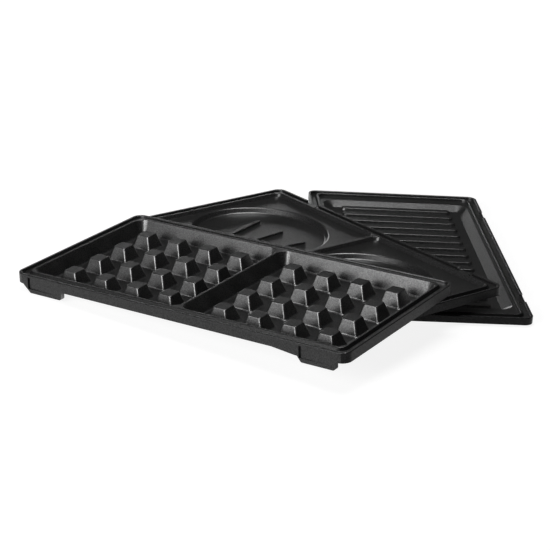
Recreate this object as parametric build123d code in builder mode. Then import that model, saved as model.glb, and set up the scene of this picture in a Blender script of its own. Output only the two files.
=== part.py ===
from build123d import *
from math import cos, radians, sin, tan
import os

# Three cast plates of one contact grill, lying on each other as in the photo.
# Sizes are in millimetres. Every plate is modelled with its length along X, its hooked long side
# towards +Y, and the crest of its rim at height zero. It is then laid in its place.

# Outline and rim, the same on the three plates
plate_length = 235.0
plate_width = 121.5
corner_radius = 6.0
lip_width = 1.8
gutter_depth = 1.6
crest_inset = 5.8
crest_width = 1.3
crest_draft = 38.0
web = 1.8
skirt_wall = 2.0
edge_round = 0.45

# Hook gaps in the rim lip of the hooked side of the sandwich and the grill plate
hook_gap = 14.0
hook_gap_left = -77.5
hook_gap_right = 83.0
hook_hole = 2.4
hook_hole_from_end = 1.9

# Latch lugs below the other long side, and the ramp that leads to the right one
lug_start_left = -111.5
lug_slope_left = 5.5
lug_end_left = -82.0
lug_slot_left = -107.7
lug_start_right = 84.5
lug_slope_right = 4.0
lug_end_right = 110.5
lug_slot_right = 87.0
lug_thickness = 3.2
lug_corner = 1.6
lug_slot_width = 1.3
lug_slot_depth = 1.5
lug_panel_depth = 0.7
lug_panel_margin = 2.4
ramp_length = 15.5
ramp_drop = 1.7

# Waffle plate
waffle_skirt = 6.2
waffle_lug_depth = 11.3
pocket_depth = 10.1
pocket_draft = 17.0
pocket_foot_radius = 3.0
pocket_foot_fillet = 1.4
pocket_floor = 1.4
pocket_wall = 1.9
waffle_underside_fillet = 3.0
divider_width = 1.6
pegs_each_way = 4
peg_pitch = 24.0
peg_height = 8.7
peg_top = 9.1
peg_draft = 17.0
peg_corner = 1.4
peg_top_round = 0.55
peg_foot_fillet = 1.2
peg_wall = 2.3
hollow_corner = 0.9

# Sandwich plate
sandwich_skirt = 5.4
sandwich_lug_depth = 6.6
panel_depth = 2.3
panel_draft = 30.0
panel_foot_radius = 3.0
panel_floor = 1.8
panel_divider_width = 3.0
recess_end_clearance = 2.6
recess_side_clearance = 9.3
recess_depth = 3.4
recess_draft = 35.0
recess_floor = 1.3
recess_edge_round = 1.0
recess_foot_fillet = 1.3
ridge_width = 3.2
ridge_height = 1.3
ridge_top_round = 0.4
ridge_fan = 13.0
ridge_turn = 8.0
ridge_length = 35.0
ridge_spacing = 22.0
ridge_right_shift = 5.5
ridge_front_shift = 1.0

# Grill plate
grill_skirt = 4.6
grill_lug_depth = 5.6
ledge_depth = 1.3
trough_end_inset = 17.0
trough_side_inset = 9.3
trough_depth = 4.5
trough_draft = 63.0
trough_foot_radius = 1.5
trough_floor = 1.4
rib_count = 15
rib_pitch = 12.9
rib_width = 5.0
rib_height = 1.7
rib_draft = 20.0
rib_length = 78.0
rib_top_round = 0.6

# How the plates lie on each other. Turns are seen from above, slopes are the rise to the right and to the back.
stack_clearance = 0.25
oval_angles = (10, 25, 40, 55, 70, 83)
grill_turn = -86.01
sandwich_turn = -53.73
sandwich_place = (-67.72, -36.81)
sandwich_slope_right = 3.20
sandwich_slope_back = 0.20
waffle_turn = -32.59
waffle_place = (-114.33, -115.24)
waffle_slope_right = 4.60
waffle_slope_back = 1.28

half_length = plate_length / 2
half_width = plate_width / 2
inner_half_length = half_length - crest_inset - crest_width
inner_half_width = half_width - crest_inset - crest_width
slab_depth = gutter_depth + web


def flared_block(half_x, half_y, radius, bottom, top, draft, middle=0.0, mode=Mode.ADD):
    """Block with rounded corners. The half sizes are those of its bottom, and the draft widens it upwards."""
    with BuildSketch(Plane.XY.offset(bottom)) as outline:
        with Locations((middle, 0)):
            RectangleRounded(2 * half_x, 2 * half_y, radius)
    extrude(outline.sketch, amount=top - bottom, taper=-draft, mode=mode)


def oval_dish(middle, half_x, half_y, bottom, top, lean, mode=Mode.ADD):
    """Oval block with sloped walls. The half sizes are those of its bottom, and it leans outwards to the top."""
    with BuildSketch(Plane.XY.offset(bottom)) as foot:
        with Locations((middle, 0)):
            Ellipse(half_x, half_y)
    with BuildSketch(Plane.XY.offset(top)) as mouth:
        with Locations((middle, 0)):
            Ellipse(half_x + lean, half_y + lean)
    loft([foot.sketch, mouth.sketch], mode=mode)


def flare(height, draft):
    """How much a wall of this height and draft leans outwards."""
    return height * tan(radians(draft))


def rim(skirt_depth):
    """Slab with a raised lip, a gutter and a narrow crest, and the skirt that hangs below its edge."""
    flared_block(half_length, half_width, corner_radius, -slab_depth, 0, 0)
    lip_radius = corner_radius - lip_width
    flared_block(half_length - lip_width, half_width - lip_width, lip_radius, -gutter_depth, 0, 0, mode=Mode.SUBTRACT)
    lean = flare(gutter_depth, crest_draft)
    crest_x = half_length - crest_inset + lean
    crest_y = half_width - crest_inset + lean
    flared_block(crest_x, crest_y, corner_radius, -gutter_depth, 0, -crest_draft)
    flared_block(half_length, half_width, corner_radius, -skirt_depth, -slab_depth, 0)
    inner_x = half_length - skirt_wall
    inner_y = half_width - skirt_wall
    inner_radius = corner_radius - skirt_wall
    flared_block(inner_x, inner_y, inner_radius, -skirt_depth, -slab_depth, 0, mode=Mode.SUBTRACT)


def round_rim():
    """Small rounding on every edge at the height of the rim."""
    top_edges = [edge for edge in edges_at(0) if edge.length > lug_thickness]
    fillet(top_edges, edge_round)


def edges_at(height):
    """Edges of the plate in work that lie flat at one height."""
    reach = 0.001
    return edges().filter_by_position(Axis.Z, height - reach, height + reach)


def latch_lug(start, slope_run, end, slot_left, skirt_depth, depth):
    """Lug that hangs below the front skirt, with a slot and a panel that fades out away from the slot."""
    root = -slab_depth
    with BuildSketch(Plane.XZ.offset(half_width)) as tongue:
        with BuildLine():
            Polyline(
                (start, root),
                (start, -skirt_depth),
                (start + slope_run, -depth),
                (end, -depth),
                (end, root),
                close=True,
            )
        make_face()
        fillet(tongue.vertices().group_by(Axis.Y)[0], min(lug_corner, depth - skirt_depth))
    extrude(tongue.sketch, amount=-lug_thickness)
    slot_bottom = -depth + lug_panel_margin
    slot_height = -gutter_depth - slot_bottom
    with BuildSketch(Plane.XY.offset(slot_bottom)) as slot:
        with Locations((slot_left, -half_width)):
            Rectangle(lug_slot_width, 2 * lug_slot_depth, align=(Align.MIN, Align.CENTER))
    extrude(slot.sketch, amount=slot_height, mode=Mode.SUBTRACT)
    with BuildSketch(Plane.XY.offset(slot_bottom)) as panel:
        with BuildLine():
            Polyline(
                (slot_left, -half_width),
                (slot_left, -half_width + lug_panel_depth),
                (end - lug_panel_margin, -half_width),
                close=True,
            )
        make_face()
    extrude(panel.sketch, amount=slot_height, mode=Mode.SUBTRACT)


def latch_side(skirt_depth, lug_depth):
    """Both lugs of the front side, and the ramp that leads down to the right one."""
    latch_lug(lug_start_left, lug_slope_left, lug_end_left, lug_slot_left, skirt_depth, lug_depth)
    latch_lug(lug_start_right, lug_slope_right, lug_end_right, lug_slot_right, skirt_depth, lug_depth)
    ramp_start = lug_start_right - ramp_length
    ramp_depth = min(ramp_drop, (lug_depth - skirt_depth) / 2)
    ramp_end = lug_start_right + lug_slope_right / 2
    with BuildSketch(Plane.XZ.offset(half_width)) as ramp:
        with BuildLine():
            Polyline(
                (ramp_start, -slab_depth),
                (ramp_start, -skirt_depth),
                (lug_start_right, -skirt_depth - ramp_depth),
                (ramp_end, -skirt_depth - ramp_depth),
                (ramp_end, -slab_depth),
                close=True,
            )
        make_face()
    extrude(ramp.sketch, amount=-skirt_wall)


def hook_side():
    """Gaps in the lip of the back side, each with a small hole at its right end."""
    for middle in (hook_gap_left, hook_gap_right):
        with BuildSketch(Plane.XY.offset(-gutter_depth)) as gap:
            with Locations((middle, half_width)):
                Rectangle(hook_gap, 2 * (lip_width + edge_round))
        extrude(gap.sketch, amount=gutter_depth, mode=Mode.SUBTRACT)
        hole_x = middle + hook_gap / 2 - hook_hole_from_end
        hole_y = half_width - lip_width - hook_hole / 2
        with BuildSketch(Plane.XY.offset(-slab_depth)) as hole:
            with Locations((hole_x, hole_y)):
                Circle(hook_hole / 2)
        extrude(hole.sketch, amount=web, mode=Mode.SUBTRACT)


# One waffle peg on a tile of the floor, and the hollow below it
with BuildPart() as peg_tile:
    with BuildSketch() as tile_outline:
        Rectangle(peg_pitch, peg_pitch)
    extrude(amount=-pocket_floor / 2)
    peg_foot = peg_top + 2 * flare(peg_height, peg_draft)
    with BuildSketch() as peg_outline:
        Rectangle(peg_foot, peg_foot)
    extrude(amount=peg_height, taper=peg_draft)
    sloped_edges = edges().filter_by(Axis.Z, reverse=True).filter_by(Plane.XY, reverse=True)
    fillet(sloped_edges, peg_corner)
    fillet(edges().group_by(Axis.Z)[-1], peg_top_round)
    peg_side = peg_foot / 2 + peg_corner
    foot_edges = edges().filter_by_position(Axis.Z, -0.001, 0.001)
    foot_edges = foot_edges.filter_by_position(Axis.X, -peg_side, peg_side).filter_by_position(Axis.Y, -peg_side, peg_side)
    fillet(foot_edges, peg_foot_fillet)

with BuildPart() as peg_hollow:
    hollow_height = pocket_floor + peg_height - peg_wall
    hollow_foot = peg_foot - 2 * peg_wall
    with BuildSketch() as hollow_outline:
        RectangleRounded(hollow_foot, hollow_foot, hollow_corner)
    extrude(amount=hollow_height, taper=peg_draft)

# Waffle plate: two deep pockets with pegs
with BuildPart() as waffle_casting:
    rim(waffle_skirt)
    pocket_lean = flare(pocket_depth, pocket_draft)
    pocket_foot_x = inner_half_length - pocket_lean
    pocket_foot_y = inner_half_width - pocket_lean
    underside_depth = pocket_depth + pocket_floor
    wall_offset = pocket_wall / cos(radians(pocket_draft)) - flare(pocket_floor, pocket_draft)
    flared_block(
        pocket_foot_x + wall_offset,
        pocket_foot_y + wall_offset,
        pocket_foot_radius + pocket_wall,
        -underside_depth,
        -gutter_depth,
        pocket_draft,
    )
    fillet(edges_at(-underside_depth), waffle_underside_fillet)
    latch_side(waffle_skirt, waffle_lug_depth)
    pocket_start = divider_width / 2 + pocket_lean
    pocket_half = (pocket_foot_x - pocket_start) / 2
    pocket_middle = (pocket_foot_x + pocket_start) / 2
    for side in (-1, 1):
        flared_block(
            pocket_half,
            pocket_foot_y,
            pocket_foot_radius,
            -pocket_depth,
            0,
            pocket_draft,
            middle=side * pocket_middle,
            mode=Mode.SUBTRACT,
        )
    fillet(edges_at(-pocket_depth), pocket_foot_fillet)
    round_rim()
    for side in (-1, 1):
        with Locations((side * pocket_middle, 0, -pocket_depth)):
            with GridLocations(peg_pitch, peg_pitch, pegs_each_way, pegs_each_way):
                add(peg_tile.part)
        with Locations((side * pocket_middle, 0, -underside_depth)):
            with GridLocations(peg_pitch, peg_pitch, pegs_each_way, pegs_each_way):
                add(peg_hollow.part, mode=Mode.SUBTRACT)

# Sandwich plate: two panels with an oval recess and three ridges each
with BuildPart() as sandwich_casting:
    rim(sandwich_skirt)
    panel_lean = flare(panel_depth, panel_draft)
    panel_foot_x = inner_half_length - panel_lean
    panel_foot_y = inner_half_width - panel_lean
    flared_block(inner_half_length, inner_half_width, corner_radius, -panel_depth - panel_floor, -gutter_depth, 0)
    latch_side(sandwich_skirt, sandwich_lug_depth)
    recess_bottom = panel_depth + recess_depth
    recess_lean = flare(recess_depth, recess_draft)
    panel_start = panel_divider_width / 2 + panel_lean
    panel_half = (panel_foot_x - panel_start) / 2
    panel_middle = (panel_foot_x + panel_start) / 2
    recess_half_x = panel_half - recess_end_clearance - recess_lean
    recess_half_y = panel_foot_y - recess_side_clearance - recess_lean
    for side in (-1, 1):
        oval_dish(
            side * panel_middle,
            recess_half_x + recess_floor,
            recess_half_y + recess_floor,
            -recess_bottom - recess_floor,
            -panel_depth - recess_floor,
            recess_lean,
        )
    for side in (-1, 1):
        flared_block(
            panel_half,
            panel_foot_y,
            panel_foot_radius,
            -panel_depth,
            0,
            panel_draft,
            middle=side * panel_middle,
            mode=Mode.SUBTRACT,
        )
    round_rim()
    hook_side()
    for side in (-1, 1):
        oval_dish(
            side * panel_middle,
            recess_half_x,
            recess_half_y,
            -recess_bottom,
            -panel_depth,
            recess_lean,
            mode=Mode.SUBTRACT,
        )
    fillet(edges_at(-recess_bottom).filter_by(GeomType.ELLIPSE), recess_foot_fillet)
    fillet(edges_at(-panel_depth).filter_by(GeomType.ELLIPSE), recess_edge_round)
    for side in (-1, 1):
        for step in (-1, 0, 1):
            ridge_x = side * panel_middle + ridge_right_shift + step * ridge_spacing
            with BuildSketch(Plane.XY.offset(-recess_bottom - recess_floor / 2)) as ridge:
                with Locations(Location((ridge_x, -ridge_front_shift), ridge_turn - step * ridge_fan)):
                    SlotOverall(ridge_length, ridge_width, rotation=90)
            extrude(ridge.sketch, amount=recess_floor / 2 + ridge_height)
    fillet(edges_at(-recess_bottom + ridge_height), ridge_top_round)

# Grill plate: one shallow trough with ribs
with BuildPart() as grill_casting:
    rim(grill_skirt)
    trough_top_x = half_length - trough_end_inset
    trough_top_y = half_width - trough_side_inset
    trough_lean = flare(trough_depth - ledge_depth, trough_draft)
    trough_foot_x = trough_top_x - trough_lean
    trough_foot_y = trough_top_y - trough_lean
    tray_depth = trough_depth + trough_floor
    flared_block(
        trough_foot_x + trough_floor,
        trough_foot_y + trough_floor,
        trough_foot_radius + trough_floor,
        -tray_depth,
        -slab_depth,
        trough_draft,
    )
    latch_side(grill_skirt, grill_lug_depth)
    flared_block(inner_half_length, inner_half_width, corner_radius - crest_width, -ledge_depth, 0, 0, mode=Mode.SUBTRACT)
    round_rim()
    hook_side()
    flared_block(
        trough_foot_x,
        trough_foot_y,
        trough_foot_radius,
        -trough_depth,
        -ledge_depth,
        trough_draft,
        mode=Mode.SUBTRACT,
    )
    rib_foot = rib_width + 2 * flare(rib_height, rib_draft)
    with BuildSketch(Plane.XY.offset(-trough_depth)) as ribs:
        with GridLocations(rib_pitch, 0, rib_count, 1):
            SlotOverall(rib_length, rib_foot, rotation=90)
    extrude(ribs.sketch, amount=rib_height, taper=rib_draft)
    fillet(edges_at(-trough_depth + rib_height), rib_top_round)


def resting_plane(place, turn, slope_right, slope_back, height):
    """Plane of a plate's rim crest, from where the plate lies and how it slopes."""
    rise_right = tan(radians(slope_right))
    rise_back = tan(radians(slope_back))
    along_x = cos(radians(turn))
    along_y = sin(radians(turn))
    along = (along_x, along_y, rise_right * along_x + rise_back * along_y)
    return Plane(origin=(place[0], place[1], height), x_dir=along, z_dir=(-rise_right, -rise_back, 1))


def corners(plane, half_x, half_y, drop, middle_x=0.0, middle_y=0.0):
    """Corners of a rectangle that lies the given drop below a plate's rim."""
    signs = ((-1, -1), (1, -1), (1, 1), (-1, 1))
    return [plane.from_local_coords((middle_x + a * half_x, middle_y + b * half_y, -drop)) for a, b in signs]


def clipped(outline, limit):
    """Part of a convex outline that lies within another one, both seen from above."""
    kept = [(point.X, point.Y) for point in outline]
    for start, end in zip(limit, limit[1:] + limit[:1]):
        side = [(end.X - start.X) * (y - start.Y) - (end.Y - start.Y) * (x - start.X) for x, y in kept]
        result = []
        for index, point in enumerate(kept):
            before = kept[index - 1]
            here = side[index]
            there = side[index - 1]
            if here * there < 0:
                share = there / (there - here)
                result.append((before[0] + share * (point[0] - before[0]), before[1] + share * (point[1] - before[1])))
            if here >= 0:
                result.append(point)
        kept = result
    return kept


def height_at(plane, drop, x, y):
    """Height above the floor of the face that lies the given drop below a plate's rim."""
    face = plane.offset(-drop)
    away = (x - face.origin.X) * face.z_dir.X + (y - face.origin.Y) * face.z_dir.Y
    return face.origin.Z - away / face.z_dir.Z


def lift_over_floor(plane, undersides):
    """How far a plate at height zero must rise to lie on the floor."""
    return max(-point.Z for side in undersides for point in corners(plane, *side))


def lift_over_plate(plane, undersides, lower):
    """How far a plate at height zero must rise to lie on the rim of the plate below."""
    lower_rim = corners(lower, half_length, half_width, 0)
    lifts = [0.0]
    for side in undersides:
        for x, y in clipped(corners(plane, *side), lower_rim):
            lifts.append(height_at(lower, 0, x, y) - height_at(plane, side[2], x, y) + stack_clearance)
    return max(lifts)


def lug_undersides(depth):
    """The two lugs as seen from below: half length, half width, drop and middle."""
    lug_y = -half_width + lug_thickness / 2
    spans = (
        (lug_start_left + lug_slope_left, lug_end_left),
        (lug_start_right + lug_slope_right, lug_end_right),
    )
    return [((end - start) / 2, lug_thickness / 2, depth, (start + end) / 2, lug_y) for start, end in spans]


waffle_tray_x = pocket_foot_x + wall_offset
waffle_tray_y = pocket_foot_y + wall_offset
waffle_undersides = [
    (half_length, half_width, waffle_skirt),
    (waffle_tray_x, waffle_tray_y, underside_depth),
] + lug_undersides(waffle_lug_depth)
bulge_half_x = recess_half_x + recess_floor
bulge_half_y = recess_half_y + recess_floor
sandwich_undersides = [(half_length, half_width, sandwich_skirt)] + lug_undersides(sandwich_lug_depth)
for side in (-1, 1):
    for angle in oval_angles:
        inner_x = bulge_half_x * cos(radians(angle))
        inner_y = bulge_half_y * sin(radians(angle))
        sandwich_undersides.append((inner_x, inner_y, recess_bottom + recess_floor, side * panel_middle))

grill_rest = resting_plane((0, 0), grill_turn, 0, 0, tray_depth)
sandwich_flat = resting_plane(sandwich_place, sandwich_turn, sandwich_slope_right, sandwich_slope_back, 0)
sandwich_lifts = (
    lift_over_floor(sandwich_flat, sandwich_undersides),
    lift_over_plate(sandwich_flat, sandwich_undersides, grill_rest),
)
sandwich_rest = Plane(
    origin=(sandwich_place[0], sandwich_place[1], max(sandwich_lifts)),
    x_dir=sandwich_flat.x_dir,
    z_dir=sandwich_flat.z_dir,
)
waffle_flat = resting_plane(waffle_place, waffle_turn, waffle_slope_right, waffle_slope_back, 0)
waffle_lifts = (
    lift_over_floor(waffle_flat, waffle_undersides),
    lift_over_plate(waffle_flat, waffle_undersides, sandwich_rest),
    lift_over_plate(waffle_flat, waffle_undersides, grill_rest),
)
waffle_rest = Plane(
    origin=(waffle_place[0], waffle_place[1], max(waffle_lifts)),
    x_dir=waffle_flat.x_dir,
    z_dir=waffle_flat.z_dir,
)

with BuildPart() as grill_plate:
    with Locations(grill_rest.location):
        add(grill_casting.part)
grill_plate.part.label = "grill_plate"

with BuildPart() as sandwich_plate:
    with Locations(sandwich_rest.location):
        add(sandwich_casting.part)
sandwich_plate.part.label = "sandwich_plate"

with BuildPart() as waffle_plate:
    with Locations(waffle_rest.location):
        add(waffle_casting.part)
waffle_plate.part.label = "waffle_plate"

os.makedirs("parts", exist_ok=True)
export_step(grill_plate.part, "parts/grill_plate.step")
export_step(sandwich_plate.part, "parts/sandwich_plate.step")
export_step(waffle_plate.part, "parts/waffle_plate.step")
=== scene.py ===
import bpy
import math
from mathutils import Matrix, Vector

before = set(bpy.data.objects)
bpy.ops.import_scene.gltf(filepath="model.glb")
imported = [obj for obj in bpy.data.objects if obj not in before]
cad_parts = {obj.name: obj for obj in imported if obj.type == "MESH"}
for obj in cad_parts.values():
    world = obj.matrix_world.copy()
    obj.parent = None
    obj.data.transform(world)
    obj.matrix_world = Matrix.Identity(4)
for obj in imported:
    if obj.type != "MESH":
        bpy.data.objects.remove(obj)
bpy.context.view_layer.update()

# Camera, from the fit of the pegs and the plate edges in the photo.
AIM = Vector((-0.08862, -0.05104, 0.0))
DISTANCE = 1.11604
ELEVATION = math.radians(20.452)
ROLL = math.radians(-3.689)
FOCAL_PIXELS = 1759.1
IMAGE_PIXELS = 550
SENSOR_WIDTH_MM = 36.0

# Where each plate lies: the middle of its rim in metres, then its turn,
# its slope to the right and its slope to the back in degrees.
PLATES = {
    "grill_plate": ((0.0, 0.0, 0.0059), -86.01, 0.0, 0.0),
    "sandwich_plate": ((-0.06772, -0.03681, 0.01266), -53.73, 3.20, 0.20),
    "waffle_plate": ((-0.11433, -0.11524, 0.02092), -32.59, 4.60, 1.28),
}
SLOTS = {
    "grill_plate": "grill_coating",
    "sandwich_plate": "sandwich_coating",
    "waffle_plate": "waffle_coating",
}

# Outer walls, which have a duller coat than the trays. They start at these distances
# from the middle of a plate, along its length and across it.
SHORT_SIDE_START = 0.109
LONG_SIDE_START = 0.052
SHORT_SIDE_DULLNESS = 1.0
LONG_SIDE_DULLNESS = 0.78
LEAST_OUTWARD = 0.4

# Black non-stick coating.
COAT_IOR = 1.7
COAT_TONE = 0.006
DARK_GRAIN = (0.8, 0.8, 0.82)
LIGHT_GRAIN = (1.35, 1.35, 1.38)
DARK_STOP = 0.35
LIGHT_STOP = 0.75
GRAIN_SCALE = 1500.0
GRAIN_DETAIL = 3.0
GRAIN_ROUGHNESS = 0.6
GRAIN_RANGE = (0.38, 0.62)
PATCH_SCALE = 28.0
PATCH_DETAIL = 2.0
PATCH_RANGE = (0.3, 0.7)
ROUGHNESS_RANGE = (0.3, 0.35)
BUMP_STRENGTH = 0.08
BUMP_DISTANCE = 0.0001
TRAY_SPECULAR = 0.9
OUTER_SPECULAR = 0.07
SPECK_RANGE = (0.6, 1.4)

# White floor. Its glow is weaker near the object, so that the object's shadow shows there.
FLOOR_HALF_WIDTH = 6.0
FLOOR_GREY = 0.26
GLOW_RANGE = (0.86, 1.0)
GLOW_RISE = (0.35, 0.9)
WORLD_STRENGTH = 0.04

LIGHT_TARGET = Vector((-0.09, -0.07, 0.0))


def plate_axes(name):
    """Placement of a plate: x along its length, y to its hooked side, z out of its top."""
    place, turn, slope_right, slope_back = PLATES[name]
    rise_right = math.tan(math.radians(slope_right))
    rise_back = math.tan(math.radians(slope_back))
    along_x = math.cos(math.radians(turn))
    along_y = math.sin(math.radians(turn))
    along = Vector((along_x, along_y, rise_right * along_x + rise_back * along_y)).normalized()
    out = Vector((-rise_right, -rise_back, 1)).normalized()
    axes = Matrix((along, out.cross(along), out)).transposed().to_4x4()
    return Matrix.Translation(place) @ axes


def math_node(nodes, operation, first, second=None):
    """Output of a math node with numbers or links as its inputs."""
    node = nodes.new("ShaderNodeMath")
    node.operation = operation
    for index, value in enumerate((first, second)):
        if isinstance(value, (int, float)):
            node.inputs[index].default_value = value
        elif value is not None:
            node.id_data.links.new(value, node.inputs[index])
    return node.outputs["Value"]


def map_range(nodes, value, source, target, interpolation="LINEAR"):
    """Output of a node that maps a value from one range to another."""
    node = nodes.new("ShaderNodeMapRange")
    node.interpolation_type = interpolation
    node.inputs["From Min"].default_value = source[0]
    node.inputs["From Max"].default_value = source[1]
    node.inputs["To Min"].default_value = target[0]
    node.inputs["To Max"].default_value = target[1]
    node.id_data.links.new(value, node.inputs["Value"])
    return node.outputs["Result"]


def outer_wall(nodes, links, coords, axes):
    """Dullness of the coat: high on a plate's outer walls and zero elsewhere."""
    local = nodes.new("ShaderNodeMapping")
    local.vector_type = "TEXTURE"
    local.inputs["Location"].default_value = axes.to_translation()
    local.inputs["Rotation"].default_value = axes.to_euler()
    links.new(coords.outputs["Object"], local.inputs["Vector"])
    parts = nodes.new("ShaderNodeSeparateXYZ")
    links.new(local.outputs["Vector"], parts.inputs["Vector"])

    walls = (
        (0, SHORT_SIDE_START, SHORT_SIDE_DULLNESS),
        (1, LONG_SIDE_START, LONG_SIDE_DULLNESS),
    )
    dullness = []
    for index, start, share in walls:
        facing = nodes.new("ShaderNodeVectorMath")
        facing.operation = "DOT_PRODUCT"
        facing.inputs[1].default_value = axes.to_3x3().col[index]
        links.new(coords.outputs["Normal"], facing.inputs[0])
        side = math_node(nodes, "SIGN", parts.outputs[index])
        outward = math_node(nodes, "MULTIPLY", facing.outputs["Value"], side)
        faces_out = math_node(nodes, "GREATER_THAN", outward, LEAST_OUTWARD)
        distance = math_node(nodes, "ABSOLUTE", parts.outputs[index])
        near_edge = math_node(nodes, "GREATER_THAN", distance, start)
        wall = math_node(nodes, "MULTIPLY", near_edge, faces_out)
        dullness.append(math_node(nodes, "MULTIPLY", wall, share))
    return math_node(nodes, "MAXIMUM", dullness[0], dullness[1])


def noise(nodes, links, coords, scale, detail):
    """Noise node in the object's own coordinates."""
    node = nodes.new("ShaderNodeTexNoise")
    node.inputs["Scale"].default_value = scale
    node.inputs["Detail"].default_value = detail
    links.new(coords.outputs["Object"], node.inputs["Vector"])
    return node


def coating(name, axes):
    """Black non-stick coating: fine grain, faint specks, a soft sheen and duller outer walls."""
    mat = bpy.data.materials.new(name)
    mat.use_nodes = True
    nodes = mat.node_tree.nodes
    links = mat.node_tree.links
    shader = nodes["Principled BSDF"]
    shader.inputs["IOR"].default_value = COAT_IOR
    coords = nodes.new("ShaderNodeTexCoord")
    grain = noise(nodes, links, coords, GRAIN_SCALE, GRAIN_DETAIL)
    grain.inputs["Roughness"].default_value = GRAIN_ROUGHNESS
    patches = noise(nodes, links, coords, PATCH_SCALE, PATCH_DETAIL)

    color = nodes.new("ShaderNodeValToRGB")
    stops = color.color_ramp.elements
    stops[0].position = DARK_STOP
    stops[0].color = [COAT_TONE * share for share in DARK_GRAIN] + [1]
    stops[1].position = LIGHT_STOP
    stops[1].color = [COAT_TONE * share for share in LIGHT_GRAIN] + [1]
    links.new(grain.outputs["Fac"], color.inputs["Fac"])
    links.new(color.outputs["Color"], shader.inputs["Base Color"])

    roughness = map_range(nodes, patches.outputs["Fac"], PATCH_RANGE, ROUGHNESS_RANGE)
    links.new(roughness, shader.inputs["Roughness"])

    bump = nodes.new("ShaderNodeBump")
    bump.inputs["Strength"].default_value = BUMP_STRENGTH
    bump.inputs["Distance"].default_value = BUMP_DISTANCE
    links.new(grain.outputs["Fac"], bump.inputs["Height"])
    links.new(bump.outputs["Normal"], shader.inputs["Normal"])

    dull = outer_wall(nodes, links, coords, axes)
    sheen = map_range(nodes, dull, (0.0, 1.0), (TRAY_SPECULAR, OUTER_SPECULAR))
    specks = map_range(nodes, grain.outputs["Fac"], GRAIN_RANGE, SPECK_RANGE)
    links.new(math_node(nodes, "MULTIPLY", sheen, specks), shader.inputs["Specular IOR Level"])
    return mat


for node, slot in SLOTS.items():
    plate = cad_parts[node]
    axes = plate.matrix_world.inverted() @ plate_axes(node)
    plate.data.materials.clear()
    plate.data.materials.append(coating(slot, axes))


def floor_material(name):
    """White floor that takes a faint shadow, and looks as white in mirrors as to the camera."""
    mat = bpy.data.materials.new(name)
    mat.use_nodes = True
    nodes = mat.node_tree.nodes
    links = mat.node_tree.links
    nodes.remove(nodes["Principled BSDF"])
    diffuse = nodes.new("ShaderNodeBsdfDiffuse")
    diffuse.inputs["Color"].default_value = (FLOOR_GREY, FLOOR_GREY, FLOOR_GREY, 1)

    path = nodes.new("ShaderNodeLightPath")
    direct = path.outputs["Is Camera Ray"]
    seen = math_node(nodes, "MAXIMUM", direct, path.outputs["Is Glossy Ray"])
    seen = math_node(nodes, "MAXIMUM", seen, path.outputs["Is Transmission Ray"])
    coords = nodes.new("ShaderNodeTexCoord")
    reach = nodes.new("ShaderNodeVectorMath")
    reach.operation = "LENGTH"
    links.new(coords.outputs["Object"], reach.inputs[0])
    level = map_range(nodes, reach.outputs["Value"], GLOW_RISE, GLOW_RANGE, "SMOOTHSTEP")
    glow = nodes.new("ShaderNodeEmission")
    links.new(math_node(nodes, "MULTIPLY", seen, level), glow.inputs["Strength"])

    both = nodes.new("ShaderNodeAddShader")
    links.new(diffuse.outputs["BSDF"], both.inputs[0])
    links.new(glow.outputs["Emission"], both.inputs[1])
    links.new(both.outputs["Shader"], nodes["Material Output"].inputs["Surface"])
    return mat


corner_signs = ((-1, -1), (1, -1), (1, 1), (-1, 1))
corners = [(FLOOR_HALF_WIDTH * x, FLOOR_HALF_WIDTH * y, 0) for x, y in corner_signs]
floor_mesh = bpy.data.meshes.new("floor")
floor_mesh.from_pydata(corners, [], [(0, 1, 2, 3)])
floor = bpy.data.objects.new("floor", floor_mesh)
bpy.context.scene.collection.objects.link(floor)
floor_mesh.materials.append(floor_material("floor_white"))

world = bpy.data.worlds.new("studio")
bpy.context.scene.world = world
world.use_nodes = True
background = world.node_tree.nodes["Background"]
background.inputs["Color"].default_value = (1, 1, 1, 1)
background.inputs["Strength"].default_value = WORLD_STRENGTH


def soft_light(name, place, width, height, brightness):
    """Soft box that points at the object, where a brightness of 1 is that of white paper."""
    data = bpy.data.lights.new(name, "AREA")
    data.shape = "RECTANGLE"
    data.size = width
    data.size_y = height
    data.energy = math.pi * width * height * brightness
    lamp = bpy.data.objects.new(name, data)
    bpy.context.scene.collection.objects.link(lamp)
    lamp.location = place
    lamp.rotation_euler = (LIGHT_TARGET - Vector(place)).to_track_quat("-Z", "Y").to_euler()
    lamp.visible_camera = False


soft_light("overhead", place=(-0.1, 0.05, 1.5), width=0.7, height=0.7, brightness=6.5)
soft_light("front_left", place=(-1.0, -0.9, 0.55), width=0.9, height=0.6, brightness=4.5)
soft_light("left_low", place=(-1.28, -0.92, 0.37), width=0.5, height=0.6, brightness=2.6)
soft_light("key", place=(-0.72, -1.1, 0.42), width=0.35, height=0.3, brightness=14.0)
soft_light("back_left", place=(-0.26, 1.25, 0.12), width=0.5, height=0.18, brightness=4.5)

forward = Vector((0, math.cos(ELEVATION), -math.sin(ELEVATION)))
right = Vector((1, 0, 0))
down = forward.cross(right)
image_right = math.cos(ROLL) * right + math.sin(ROLL) * down
image_down = -math.sin(ROLL) * right + math.cos(ROLL) * down
camera_data = bpy.data.cameras.new("camera")
camera_data.sensor_width = SENSOR_WIDTH_MM
camera_data.lens = FOCAL_PIXELS / IMAGE_PIXELS * SENSOR_WIDTH_MM
camera = bpy.data.objects.new("camera", camera_data)
bpy.context.scene.collection.objects.link(camera)
camera_axes = Matrix((image_right, -image_down, -forward)).transposed().to_4x4()
camera.matrix_world = Matrix.Translation(AIM - DISTANCE * forward) @ camera_axes
bpy.context.scene.camera = camera
bpy.context.scene.view_settings.view_transform = "Standard"
